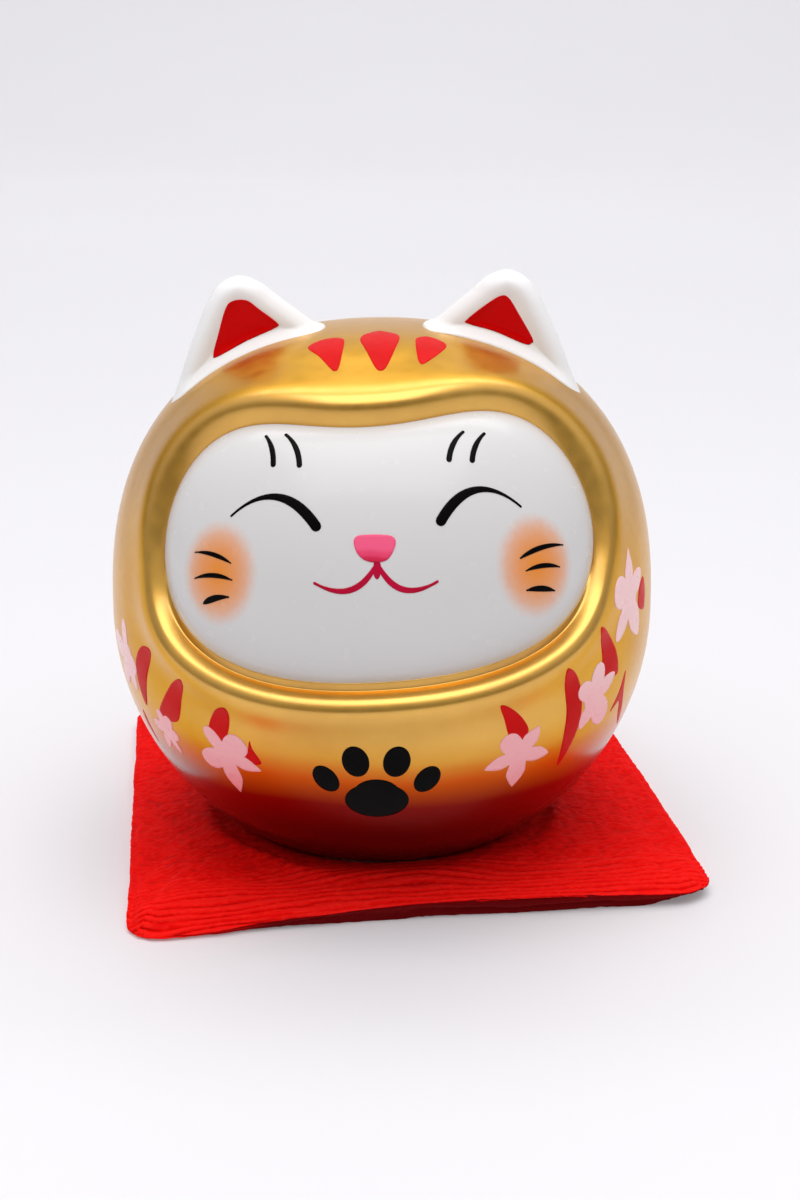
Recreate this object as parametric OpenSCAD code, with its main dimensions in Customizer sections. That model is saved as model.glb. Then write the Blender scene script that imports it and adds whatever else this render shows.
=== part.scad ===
// Cat daruma: a slip-cast, glazed figurine that sits on a thin square crepe cushion.
// Millimetres, +Z up. The origin is on the table, under the doll's axis. The doll faces -Y.

/* [Body] */
// Radius of the body at its widest
body_r = 48; // [44:0.5:54]
// Height of the widest ring above the doll's base
waist_h = 40.8; // [38:0.2:43]
// Height of the dome above the widest ring
dome_h = 49.7; // [47:0.1:53]
// Squareness of the dome's curve, where 2 is an ellipse
dome_n = 2.4; // [2:0.1:2.8]
// Depth of the lower curve, which the base cuts off
bowl_h = 47.5; // [46:0.5:52]
// Thickness of the cast wall
wall = 3.5; // [2.5:0.5:5]
// Height of the unglazed foot ring
foot_h = 1; // [0.6:0.1:2]
// Width of the foot ring
foot_w = 4.5; // [3:0.5:8]
// Radius of the firing vent in the base
vent_r = 4; // [2:0.5:6]

/* [Face] */
// Angle of the face's middle above the waist
face_tilt = 24; // [18:1:30]
// Half width of the face opening, along the body
face_half_w = 40; // [34:0.5:41]
// Reach of the opening's upper half before its dip
face_up = 44; // [40:0.5:46]
// Reach of the opening's lower half
face_down = 24.5; // [20:0.5:26]
// Depth of the dip between the brows
brow_dip = 27.2; // [22:0.2:30]
// Width of that dip
brow_dip_w = 26.5; // [22:0.5:32]
// Height of the opening's middle on the face
face_lift = 4.1; // [2:0.1:6]
// Lean of the opening, anticlockwise
face_roll = 3.9; // [0:0.1:5]
// How far the white face lies below the gold
face_recess = 0.8; // [0.4:0.1:1.5]
// Height of the raised rim round the face
rim_h = 1.3; // [0.6:0.1:2]
// Width of the raised rim
rim_w = 6; // [4:0.5:7]

/* [Ears] */
// Distance of an ear's tip from the middle
ear_tip_x = 22.85; // [18:0.05:26]
// Height of an ear's tip above the doll's base
ear_tip_h = 99.15; // [94:0.05:104]
// Radius of the rounded tip
ear_tip_r = 3; // [2:0.5:4]
// Distance of an ear's inner foot from the middle
ear_in_x = 11; // [9:0.5:14]
// Distance of an ear's outer foot from the middle
ear_out_x = 33.5; // [30:0.5:36]
// Lean of both ears together, anticlockwise
head_roll = 1.4; // [0:0.1:3]

/* [Painting] */
// Thickness of a fired paint layer
paint = 0.2; // [0.15:0.05:0.4]

/* [Cushion] */
// Side of the square cushion
cushion_w = 98; // [90:1:110]
// Thickness of the cushion
cushion_h = 5; // [4:0.5:8]
// Thickness of its crepe cover
cover_t = 0.8; // [0.5:0.1:1.2]
// Radius of the cushion's corners
corner_r = 4; // [2:0.5:8]
// Turn of the cushion under the doll, anticlockwise
cushion_yaw = 9.5; // [0:0.5:15]
// Cushion's middle from the doll's axis, sideways
cushion_x = 1.2; // [-6:0.1:6]
// Cushion's middle from the doll's axis, backwards
cushion_y = 12.5; // [0:0.1:14]

/* [Hidden] */

base_z = cushion_h;
waist_z = base_z + waist_h;
ear_tip_z = base_z + ear_tip_h - ear_tip_r;
curve_steps = 18;
outline_steps = 48;
far = 75;
face_t = -face_recess;

// Outward directions on the body, and outlines drawn along it

// Turns [right, back, up] so that straight ahead becomes the face's middle
function tilt_up(p, a) = [p[0], p[1] * cos(a) + p[2] * sin(a), -p[1] * sin(a) + p[2] * cos(a)];
// Direction of a point that lies [u, v] along the body from the face's middle
function face_dir(q) =
    let (k = max(norm(q), 0.001), a = k / body_r * 180 / PI)
    tilt_up([sin(a) * q[0] / k, -cos(a), sin(a) * q[1] / k], face_tilt);
function signed_pow(x, e) = sign(x) * pow(abs(x), e);
function turn2(q, a) = [q[0] * cos(a) - q[1] * sin(a), q[0] * sin(a) + q[1] * cos(a)];
// The bean outline of the face opening, at angle a
function face_point(a) =
    let (top = sin(a) > 0,
         n = top ? 1.67 : 2.35,
         u = face_half_w * signed_pow(cos(a), 2 / n),
         v = (top ? face_up : face_down) * signed_pow(sin(a), 2 / n),
         dip = top ? brow_dip * exp(-pow(u / brow_dip_w, 2)) * sqrt(sin(a)) : 0)
    turn2([u, v - dip], face_roll) + [0, face_lift];
// The same outline, moved outwards by s
function face_edge(a, s) =
    let (d = face_point(a + 1.5) - face_point(a - 1.5))
    face_point(a) + s * [d[1], -d[0]] / norm(d);
// A tapered brush stroke from p to q that bows by sag and is w wide at its fattest
function stroke_mid(p, q, sag, t) =
    let (d = q - p, m = (p + q) / 2 + 2 * sag * [-d[1], d[0]] / norm(d))
    (1 - t) * (1 - t) * p + 2 * t * (1 - t) * m + t * t * q;
function stroke_side(p, q, sag, w, heavy, t, side) =
    let (a = stroke_mid(p, q, sag, t - 0.01), b = stroke_mid(p, q, sag, t + 0.01),
         d = (b - a) / norm(b - a),
         half = w / 2 * max(0.12, pow(sin(180 * pow(t, heavy)), 0.8)))
    stroke_mid(p, q, sag, t) + side * half * [-d[1], d[0]];
function stroke_outline(p, q, sag, w, heavy, steps = 10) =
    concat([for (i = [0:steps]) stroke_side(p, q, sag, w, heavy, i / steps, -1)],
           [for (i = [steps:-1:0]) stroke_side(p, q, sag, w, heavy, i / steps, 1)]);

// Body of revolution whose surface is t outside the gold one, cut off at height cut_z
module skin(t, cut_z) {
    dome = [for (i = [0:curve_steps])
        let (a = 90 * (1 - i / curve_steps))
        [(body_r + t) * pow(cos(a), 2 / dome_n), waist_z + (dome_h + t) * pow(sin(a), 2 / dome_n)]];
    end = asin((waist_z - cut_z) / (bowl_h + t));
    bowl = [for (i = [1:curve_steps])
        let (a = end * i / curve_steps)
        [(body_r + t) * cos(a), waist_z - (bowl_h + t) * sin(a)]];
    rotate_extrude($fn = 96) polygon(concat([[0, cut_z], [0, waist_z + dome_h + t]],
        [for (i = [1:curve_steps]) dome[i]], bowl));
}

// Thin layer of the body between t0 and t1 outside the gold surface
module layer(t0, t1) difference() {
    skin(t1, base_z + foot_h);
    skin(t0, base_z + foot_h);
}

// Pyramid from the body's middle out through the face outline moved out by s
module face_cone(s) {
    ring = [for (i = [0:outline_steps - 1]) far * face_dir(face_edge(360 * i / outline_steps, s))];
    last = outline_steps + 1;
    translate([0, 0, waist_z]) polyhedron(
        concat([[0, 0, 0]], ring, [1.1 * far * face_dir([0, face_lift])]),
        concat([for (i = [0:outline_steps - 1]) [0, i + 1, (i + 1) % outline_steps + 1]],
               [for (i = [0:outline_steps - 1]) [last, (i + 1) % outline_steps + 1, i + 1]]));
}

// Coat of paint on the gold that stops at the raised rim
module paint_beside_rim() difference() {
    layer(0, paint);
    face_cone(rim_w);
}

// Stands a flat drawing upright at [u, v] on the face, facing outwards
module on_face(u, v, spin = 0)
    translate([0, 0, waist_z]) rotate([90 - face_tilt, 0, 0])
        rotate(a = norm([u, v]) / body_r * 180 / PI, v = [-v, u, 0]) rotate([0, 0, spin])
            translate([0, 0, 25]) linear_extrude(far - 25) children();
// The same at a longitude and latitude of the body
module on_body(lon, lat, spin = 0)
    translate([0, 0, waist_z]) rotate([0, 0, lon]) rotate([90 - lat, 0, 0])
        rotate([0, 0, spin]) translate([0, 0, 25]) linear_extrude(far - 25) children();

module stroke(p, q, sag, w, heavy = 1) polygon(stroke_outline(p, q, sag, w, heavy));
module oval(rx, ry, steps = 24)
    polygon([for (i = [0:steps - 1]) [rx * cos(360 * i / steps), ry * sin(360 * i / steps)]]);

// Five-petalled blossom with pointed petals
module blossom(r, stretch = 1) scale([stretch, 1]) polygon([for (i = [0:59])
    let (a = 6 * i, off = abs((a + 36) % 72 - 36) / 36)
    r * (1 - 0.62 * pow(off, 1.7)) * [sin(a), cos(a)]]);

// Doll

module body_shell() color([0.78, 0.6, 0.25]) difference() {
    union() {
        skin(0, base_z + foot_h);
        intersection() {
            face_cone(rim_w);
            skin(rim_h / 2, base_z + foot_h);
        }
        intersection() {
            face_cone(rim_w * 0.75);
            skin(rim_h, base_z + foot_h);
        }
    }
    skin(-wall, base_z + foot_h + wall);
    face_cone(0);
    translate([0, 0, base_z]) cylinder(r = vent_r, h = 3 * wall, $fn = 48);
}

module foot_ring() color([0.92, 0.9, 0.86]) {
    r = body_r * sqrt(1 - pow((waist_h - foot_h) / bowl_h, 2)) - 0.5;
    translate([0, 0, base_z]) difference() {
        cylinder(r = r, h = foot_h, $fn = 96);
        translate([0, 0, -1]) cylinder(r = r - foot_w, h = foot_h + 2, $fn = 96);
    }
}

module face_panel() color([0.96, 0.96, 0.95]) intersection() {
    layer(-wall, face_t);
    face_cone(0);
}

// One ear without its seat on the body; side is -1 for the doll's image-left ear
module ear_form(side) translate([0, 0, waist_z]) rotate([0, -head_roll, 0])
    translate([0, 0, -waist_z]) hull() {
        translate([side * ear_tip_x, -3, ear_tip_z]) sphere(r = ear_tip_r, $fn = 32);
        translate([side * ear_in_x, -1.5, waist_z + 47]) sphere(r = 2, $fn = 32);
        translate([side * ear_out_x, -2, waist_z + 38]) sphere(r = 3, $fn = 32);
        translate([side * 24.5, -2, waist_z + 41.5]) sphere(r = 6, $fn = 32);
    }
module ear(side) color([0.96, 0.96, 0.95]) difference() {
    ear_form(side);
    skin(0, base_z + foot_h);
}
module inner_ear(side) color([0.75, 0.02, 0.03]) intersection() {
    difference() {
        translate([0, -paint, 0]) ear_form(side);
        ear_form(side);
        skin(0, base_z + foot_h);
    }
    translate([0, 0, waist_z]) rotate([0, -head_roll, 0]) rotate([90, 0, 0])
        linear_extrude(20) hull() {
            translate([side * 22.3, 53]) circle(r = 1.6, $fn = 24);
            translate([side * 17.6, 49.6]) circle(r = 0.6, $fn = 24);
            translate([side * 26.4, 46]) circle(r = 0.8, $fn = 24);
        }
}
module ear_left() ear(-1);
module ear_right() ear(1);
module inner_ear_left() inner_ear(-1);
module inner_ear_right() inner_ear(1);

// Painting on the gold: wedges on the brow, an emblem, robe strokes and blossoms

module wedge(w, h) hull() {
    translate([-w / 2 + 0.6, h / 2 - 1.8]) circle(r = 0.6, $fn = 16);
    translate([w / 2 - 0.6, h / 2 - 1.8]) circle(r = 0.6, $fn = 16);
    translate([0, h / 2 - w / 2]) circle(r = w / 2.6, $fn = 24);
    translate([0, -h / 2 + 0.4]) circle(r = 0.4, $fn = 16);
}
module forehead_marks() color([0.8, 0.1, 0.1]) intersection() {
    layer(0, paint);
    union() {
        on_face(0, 38.6) wedge(6.6, 14.6);
        on_face(-8.7, 37.4, 18) wedge(6, 11.5);
        on_face(8.5, 39, -14) wedge(5, 10.5);
    }
}

module belly_emblem() color([0.08, 0.05, 0.05]) intersection() {
    layer(0, paint);
    on_body(0, -24) union() {
        translate([0, -2.6]) oval(5.4, 4.4);
        for (side = [-1, 1]) {
            translate([side * 3.2, 5.6]) rotate(-side * 8) oval(2, 2.9);
            translate([side * 7.8, 1.6]) rotate(-side * 28) oval(1.8, 2.7);
        }
    }
}

module blossoms_left() color([0.96, 0.72, 0.77]) intersection() {
    layer(0, paint);
    union() {
        on_body(-31.5, -20, -10) blossom(6.4);
        on_body(-53, -19.5, 12) blossom(5.6);
        on_body(-68, -8, 20) blossom(6.4);
    }
}
module blossoms_right() color([0.96, 0.72, 0.77]) intersection() {
    paint_beside_rim();
    union() {
        on_body(30, -19, 14) blossom(6.2);
        on_body(51, -9.5, -14) blossom(6.8);
        on_body(61.5, 9, 8) blossom(7.8);
    }
}

module robe_strokes_left() color([0.78, 0.06, 0.1]) intersection() {
    layer(0, paint);
    difference() {
        union() {
            on_body(-29.5, -12) stroke([1.4, 4.5], [-1.2, -3.4], 0.9, 4.6, 1.5);
            on_body(-46, -10) stroke([4.4, 6], [-3, -7], 1.2, 4.6, 1.2);
            on_body(-58, -8) stroke([2.8, 8.5], [-3, -8], 1, 5, 1.2);
        }
        on_body(-31.5, -20, -10) blossom(6.4);
        on_body(-53, -19.5, 12) blossom(5.6);
        on_body(-68, -8, 20) blossom(6.4);
    }
}
module robe_strokes_right() color([0.78, 0.06, 0.1]) intersection() {
    paint_beside_rim();
    difference() {
        union() {
            on_body(28.5, -11) stroke([-2.6, 4.6], [1.8, -3], -0.7, 4.2, 1.4);
            on_body(43.5, -12) stroke([-2.6, 10.4], [-0.4, -10.4], -2, 4.6, 1);
            on_body(52, 0) stroke([-2, 4.5], [3, -6], -0.6, 4.2, 1);
            on_body(62, -12) stroke([1.5, 6.5], [-1.8, -6], -0.6, 2.4, 1);
        }
        on_body(30, -19, 14) blossom(6.2);
        on_body(51, -9.5, -14) blossom(6.8);
        on_body(61.5, 9, 8) blossom(7.8);
    }
}

// Painting on the white face

module brush_on_face(strokes) color([0.07, 0.05, 0.05]) intersection() {
    layer(face_t, face_t + paint);
    union() for (s = strokes)
        let (m = (s[0] + s[1]) / 2)
        on_face(m[0], m[1]) stroke(s[0] - m, s[1] - m, s[2], s[3], s[4]);
}
module eyebrows() brush_on_face([
    [[-17.6, 20], [-15.7, 14.4], 0.4, 0.75, 0.8],
    [[-14.3, 19.9], [-11.6, 14], 0.5, 0.75, 0.8],
    [[13.2, 20.1], [11, 14.6], -0.4, 0.75, 0.8],
    [[16.7, 20.2], [14.4, 14.8], -0.5, 0.75, 0.8]]);
module eye_left() brush_on_face([[[-22.8, 6.8], [-8.8, 4.3], 3.9, 1.3, 2.2]]);
module eye_right() brush_on_face([[[9.6, 5.3], [22.6, 8.4], 3.8, 1.3, 0.5]]);
module whiskers_left() brush_on_face([
    [[-30.3, 1.9], [-23, -0.6], 0.5, 0.6, 1],
    [[-30.8, -2.3], [-23, -3.2], 0.5, 0.6, 1],
    [[-29.3, -6.6], [-24, -6], 0.4, 0.75, 1.4]]);
module whiskers_right() brush_on_face([
    [[22.6, 0.3], [30.9, 3.6], 0.6, 0.6, 0.8],
    [[23.8, -1.5], [30.6, -0.3], 0.5, 0.6, 0.8],
    [[24.3, -4.6], [29.8, -4.3], 0.4, 0.6, 0.8]]);

module nose() color([0.9, 0.38, 0.5]) intersection() {
    layer(face_t, face_t + paint);
    on_face(0.2, 1) hull() {
        translate([-2, 0.9]) circle(r = 1.3, $fn = 24);
        translate([2, 0.9]) circle(r = 1.3, $fn = 24);
        translate([0, -1]) circle(r = 1.3, $fn = 24);
    }
}
module mouth() color([0.78, 0.08, 0.25]) intersection() {
    layer(face_t, face_t + paint);
    on_face(0.1, -4) {
        stroke([0.2, 2.6], [-0.1, 0.6], 0, 0.7);
        stroke([0.2, 1.4], [-9.4, -0.3], 3.6, 0.9, 0.8);
        stroke([-0.2, 1.4], [9.4, 0], -3.4, 0.9, 0.8);
    }
}
module cheek(u, v) color([0.95, 0.62, 0.3]) intersection() {
    layer(face_t, face_t + paint / 2);
    on_face(u, v) oval(5.8, 7.2);
}
module cheek_left() difference() {
    cheek(-26, -2);
    whiskers_left();
}
module cheek_right() difference() {
    cheek(26.1, -0.5);
    whiskers_right();
}

// Cushion: a top cover that wraps the sides, a bottom cover and a thin pad inside

module cushion_plan(inset) translate([cushion_x, cushion_y]) rotate(cushion_yaw) {
    w = cushion_w - 2 * inset;
    r = corner_r - inset;
    square([w, w - 2 * r], center = true);
    square([w - 2 * r, w], center = true);
    for (x = [-1, 1], y = [-1, 1])
        translate([x * (w / 2 - r), y * (w / 2 - r)]) circle(r = r, $fn = 48);
}
module cushion_cover_top() color([0.85, 0.05, 0.04]) difference() {
    translate([0, 0, cover_t]) linear_extrude(cushion_h - cover_t) cushion_plan(0);
    linear_extrude(cushion_h - cover_t) cushion_plan(cover_t);
}
module cushion_cover_bottom() color([0.7, 0.04, 0.03]) linear_extrude(cover_t) cushion_plan(0);
module cushion_padding() color([0.95, 0.93, 0.88])
    translate([0, 0, cover_t]) linear_extrude(cushion_h - 2 * cover_t) cushion_plan(cover_t);

body_shell();
foot_ring();
face_panel();
ear_left();
ear_right();
inner_ear_left();
inner_ear_right();
forehead_marks();
eyebrows();
eye_left();
eye_right();
nose();
mouth();
cheek_left();
cheek_right();
whiskers_left();
whiskers_right();
belly_emblem();
blossoms_left();
blossoms_right();
robe_strokes_left();
robe_strokes_right();
cushion_cover_top();
cushion_cover_bottom();
cushion_padding();
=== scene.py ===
import math
import bpy
import numpy as np
from mathutils import Matrix, Vector
from mathutils.geometry import delaunay_2d_cdt


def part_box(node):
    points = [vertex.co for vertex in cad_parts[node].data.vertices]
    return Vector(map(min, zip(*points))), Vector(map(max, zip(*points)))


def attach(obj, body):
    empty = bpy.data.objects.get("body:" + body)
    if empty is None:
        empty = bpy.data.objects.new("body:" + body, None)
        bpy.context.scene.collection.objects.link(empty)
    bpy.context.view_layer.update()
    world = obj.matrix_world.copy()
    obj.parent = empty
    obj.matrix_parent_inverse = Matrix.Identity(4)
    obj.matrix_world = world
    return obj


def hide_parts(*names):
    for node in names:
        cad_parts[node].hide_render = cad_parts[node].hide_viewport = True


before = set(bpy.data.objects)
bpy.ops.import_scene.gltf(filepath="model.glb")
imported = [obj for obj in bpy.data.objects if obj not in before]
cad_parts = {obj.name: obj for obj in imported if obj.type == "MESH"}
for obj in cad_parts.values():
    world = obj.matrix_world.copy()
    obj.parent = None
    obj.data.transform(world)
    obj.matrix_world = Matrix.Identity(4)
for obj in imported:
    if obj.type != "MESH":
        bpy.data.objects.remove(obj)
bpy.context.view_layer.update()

# Cat daruma on a crepe cushion. Shapes are worked out in millimetres and written in metres.
MM = 0.001

# ---- sizes from the frame

CUSHION_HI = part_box("cushion_cover_top")[1]
SHELL_LO, SHELL_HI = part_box("body_shell")
BASE_Z = CUSHION_HI.z / MM
FOOT_Z = SHELL_LO.z / MM
BODY_R = 48.0
WAIST_Z = BASE_Z + 40.8
DOME_H = SHELL_HI.z / MM - WAIST_Z
DOME_N = 2.4
BOWL_H = 47.5
BOWL_N = 2.0
VENT_R = 4.0

# Face opening: the same bean outline as the CAD face, drawn along the body from its middle
FACE_TILT = math.radians(24)
FACE_HALF_W, FACE_UP, FACE_DOWN = 40.5, 44.0, 24.5
FACE_UP_N, FACE_DOWN_N = 1.67, 2.35
BROW_DIP, BROW_DIP_W = 27.2, 26.5
FACE_LIFT = 4.1
FACE_ROLL = math.radians(3.9)
FACE_MIDDLE = np.array([0, FACE_LIFT])
HEAD_ROLL = math.radians(1.4)
# Heights from the plain body of the white face's back and of the recess behind it
FACE_BACK = -2.8
RECESS = -4.4

OUTLINE_N = 640
UP = np.array([0.0, 0.0, 1.0])


# ---- small tools

def smoothstep(lo, hi, x):
    t = np.clip((x - lo) / (hi - lo), 0, 1)
    return t * t * (3 - 2 * t)


def unit(v):
    return v / np.maximum(np.linalg.norm(v, axis=-1, keepdims=True), 1e-12)


def spline(points, count):
    """Uniform cubic B-spline of a control polygon that starts and ends at its end points."""
    p = np.asarray(points, float)
    p = np.vstack([2 * p[:1] - p[1:2], p, 2 * p[-1:] - p[-2:-1]])
    x = np.linspace(0, len(p) - 3, count)
    k = np.minimum(x.astype(int), len(p) - 4)
    t = (x - k)[:, None]
    return ((1 - t) ** 3 * p[k] + (3 * t**3 - 6 * t**2 + 4) * p[k + 1]
            + (-3 * t**3 + 3 * t**2 + 3 * t + 1) * p[k + 2] + t**3 * p[k + 3]) / 6


def in_scene(name, data):
    """A new object in the scene for a mesh, a light or a camera."""
    obj = bpy.data.objects.new(name, data)
    bpy.context.scene.collection.objects.link(obj)
    return obj


def plain_mesh(name, verts, faces):
    """A mesh object from points in metres."""
    mesh = bpy.data.meshes.new(name)
    mesh.from_pydata(np.asarray(verts).tolist(), [], faces)
    return in_scene(name, mesh)


def new_piece(name, verts_mm, faces, material, body, slot, *nodes):
    """A piece that rides on a body, takes the given material and replaces CAD nodes; slot is not used."""
    piece = plain_mesh(name, np.asarray(verts_mm) * MM, faces)
    piece.data.update()
    piece.data.shade_smooth()
    piece.data.materials.append(material)
    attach(piece, body)
    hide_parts(*nodes)
    return piece


def grid_faces(rows, cols):
    """Quads of a grid of rows x cols points, closed round its columns."""
    return [(i + j, i + (j + 1) % cols, i + cols + (j + 1) % cols, i + cols + j)
            for i in range(0, (rows - 1) * cols, cols) for j in range(cols)]


def fan(centre, ring):
    return [(centre, ring[j], ring[(j + 1) % len(ring)]) for j in range(len(ring))]


def closed_stack(rings, bottom, top):
    """Points and faces of a solid skinned over equal rings and closed by a point at either end."""
    n, cols = rings.shape[:2]
    verts = np.concatenate([rings.reshape(-1, 3), bottom, top])
    faces = grid_faces(n, cols)
    faces += [f[::-1] for f in fan(n * cols, range(cols))]
    faces += fan(n * cols + 1, range((n - 1) * cols, n * cols))
    return verts, faces


def catmull_rom(a, b, c, d, t):
    """Smooth way from b to c, with neighbours a and d."""
    return 0.5 * (2 * b + (c - a) * t + (2 * a - 5 * b + 4 * c - d) * t**2 + (3 * b - a - 3 * c + d) * t**3)


def loop_spline(points, steps=10):
    """Closed smooth curve through all the points."""
    p = np.asarray(points, float)
    t = (np.arange(steps) / steps)[:, None]
    n = len(p)
    return np.concatenate([catmull_rom(p[i - 1], p[i], p[(i + 1) % n], p[(i + 2) % n], t) for i in range(n)])


# ---- the casting's surface

def skin_radius(dirs, t=0.0):
    """Distance from the body's middle to the surface t outside the plain body, along unit dirs."""
    r = np.hypot(dirs[..., 0], dirs[..., 1])
    z = dirs[..., 2]
    n = np.where(z > 0, DOME_N, BOWL_N)
    h = np.where(z > 0, DOME_H, BOWL_H) + t
    return ((r / (BODY_R + t)) ** n + (np.abs(z) / h) ** n) ** (-1 / n)


def chart_dirs(uv):
    """Unit directions of points [u, v] drawn along the body, in mm, from the face's middle."""
    k = np.maximum(np.hypot(uv[..., 0], uv[..., 1]), 1e-9)
    a = k / BODY_R
    x = np.sin(a) * uv[..., 0] / k
    y = -np.cos(a)
    z = np.sin(a) * uv[..., 1] / k
    c, s = math.cos(FACE_TILT), math.sin(FACE_TILT)
    return np.stack([x, y * c + z * s, -y * s + z * c], -1)


def to_chart(dirs):
    """The inverse of chart_dirs."""
    c, s = math.cos(FACE_TILT), math.sin(FACE_TILT)
    x = dirs[..., 0]
    y = dirs[..., 1] * c - dirs[..., 2] * s
    z = dirs[..., 1] * s + dirs[..., 2] * c
    a = np.arccos(np.clip(-y, -1, 1)) * BODY_R
    k = np.maximum(np.hypot(x, z), 1e-9)
    return np.stack([a * x / k, a * z / k], -1)


def body_dirs(lon, lat, ab):
    """Directions of a flat drawing's points ab, in mm, centred on a longitude and latitude."""
    lon, lat = math.radians(lon), math.radians(lat)
    a, b = ab[..., 0], ab[..., 1]
    k = np.maximum(np.hypot(a, b), 1e-9)
    angle = k / BODY_R
    side = np.sin(angle) * a / k
    up = np.sin(angle) * b / k
    out = np.cos(angle)
    x = side
    y = -out * math.cos(lat) + up * math.sin(lat)
    z = out * math.sin(lat) + up * math.cos(lat)
    return np.stack([x * math.cos(lon) - y * math.sin(lon), x * math.sin(lon) + y * math.cos(lon), z], -1)


def make_outline():
    """The face opening's outline: evenly spaced points and outward normals in the face chart."""
    a = np.linspace(0, 2 * np.pi, 4000, endpoint=False)
    c, s = np.cos(a), np.sin(a)
    n = np.where(s > 0, FACE_UP_N, FACE_DOWN_N)
    u = FACE_HALF_W * np.sign(c) * np.abs(c) ** (2 / n)
    v = np.where(s > 0, FACE_UP, FACE_DOWN) * np.sign(s) * np.abs(s) ** (2 / n)
    v -= BROW_DIP * np.exp(-((u / BROW_DIP_W) ** 2)) * np.sqrt(np.clip(s, 0, 1))
    c, s = math.cos(FACE_ROLL), math.sin(FACE_ROLL)
    p = np.stack([u * c - v * s, u * s + v * c + FACE_LIFT], -1)
    step = np.linalg.norm(np.roll(p, -1, 0) - p, axis=1)
    at = np.concatenate([[0], np.cumsum(step)])
    want = np.linspace(0, at[-1], OUTLINE_N, endpoint=False)
    closed = np.vstack([p, p[:1]])
    p = np.stack([np.interp(want, at, closed[:, i]) for i in (0, 1)], -1)
    spectrum = np.fft.fft(p[:, 0] + 1j * p[:, 1])
    waves = np.fft.fftfreq(OUTLINE_N, 1 / OUTLINE_N)
    z = np.fft.ifft(spectrum * np.exp(-((waves / 11.0) ** 2)))
    p = np.stack([z.real, z.imag], -1)
    d = unit(np.roll(p, -1, 0) - np.roll(p, 1, 0))
    return p, np.stack([d[:, 1], -d[:, 0]], -1)


OUTLINE, NORMALS = make_outline()

# The rim's cross-section, as [distance outside the opening, height above the body], at the
# bottom, sides and top of the face
RIM_BOTTOM = [(0, -1.5), (1.2, -1.48), (1.4, -1.4), (1.5, -1.05), (1.8, 0.05), (2.1, 0.9), (2.6, 1.4),
              (3.4, 1.85), (4.2, 2), (5.6, 1.65), (7.4, 0.9), (9.3, 0.3), (11.5, 0.02), (14, 0)]
RIM_SIDE = [(0, -1.8), (0.1, -1.45), (0.6, -0.3), (1.2, 0.5), (2.1, 0.9), (3.7, 0.85), (6, 0.45),
            (8.8, 0.12), (12, 0), (14, 0)]
RIM_TOP = [(0, -1.9), (0.1, -1.6), (0.9, -0.35), (1.8, 0.8), (3.1, 1.3), (5, 1.15), (7.6, 0.6), (10.5, 0.18),
           (12.5, 0.02), (14, 0)]
RIM_ROWS = 70
RIM_REACH = 14.0


def rim_profiles():
    """Cross-section of the rim at each outline point: arrays of distance and height."""
    v = OUTLINE[:, 1, None, None]
    top, bottom = smoothstep(2, 21, v), smoothstep(2, -13, v)
    low, side, high = (spline(c, RIM_ROWS) for c in (RIM_BOTTOM, RIM_SIDE, RIM_TOP))
    mixed = low * bottom + side * (1 - bottom - top) + high * top
    return mixed[..., 0], mixed[..., 1]


RIM_S, RIM_T = rim_profiles()


def outline_distance(uv):
    """Signed distance of chart points from the face outline, and the nearest outline point."""
    flat = uv.reshape(-1, 2)
    distance = np.empty(len(flat))
    nearest = np.empty(len(flat), int)
    for i in range(0, len(flat), 20000):
        part = flat[i:i + 20000]
        gap = part[:, None] - OUTLINE[None]
        d2 = (gap**2).sum(-1)
        k = d2.argmin(1)
        row = np.arange(len(part))
        side = (gap[row, k] * NORMALS[k]).sum(-1)
        distance[i:i + 20000] = np.where(side > 0, 1, -1) * np.sqrt(d2[row, k])
        nearest[i:i + 20000] = k
    return distance.reshape(uv.shape[:-1]), nearest.reshape(uv.shape[:-1])


def gold_t(dirs):
    """Height of the gold surface above the plain body along dirs, the rim included."""
    s, k = outline_distance(to_chart(dirs))
    t = np.zeros(s.shape)
    for i in np.argwhere((s > 0) & (s < RIM_REACH)):
        i = tuple(i)
        t[i] = np.interp(s[i], RIM_S[k[i]], RIM_T[k[i]])
    return t


def face_t(uv):
    """Height of the white face above the plain body: a pillow that drops to its edge."""
    s, k = outline_distance(uv)
    depth = np.clip(-s, 0, None)
    reach = np.interp(RIM_T[k, 0], (-1.9, -1.5), (3.4, 2.2))
    return -0.1 + (RIM_T[k, 0] + 0.1) * np.exp(-depth / reach)


def on_skin(dirs, t):
    """Points at height t above the plain body along dirs."""
    return dirs * skin_radius(dirs, t)[..., None] + UP * WAIST_Z


def cut_base(p):
    """Flattens the bottom of the casting where the foot ring carries it, with a rounded edge."""
    soft = 0.6
    above = p[..., 2:] - FOOT_Z
    blend = np.clip(0.5 + above / (2 * soft), 0, 1)
    flat = np.where(above < soft, above * blend**2, above)
    return np.concatenate([p[..., :2], FOOT_Z + flat], -1)


# ---- materials

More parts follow.
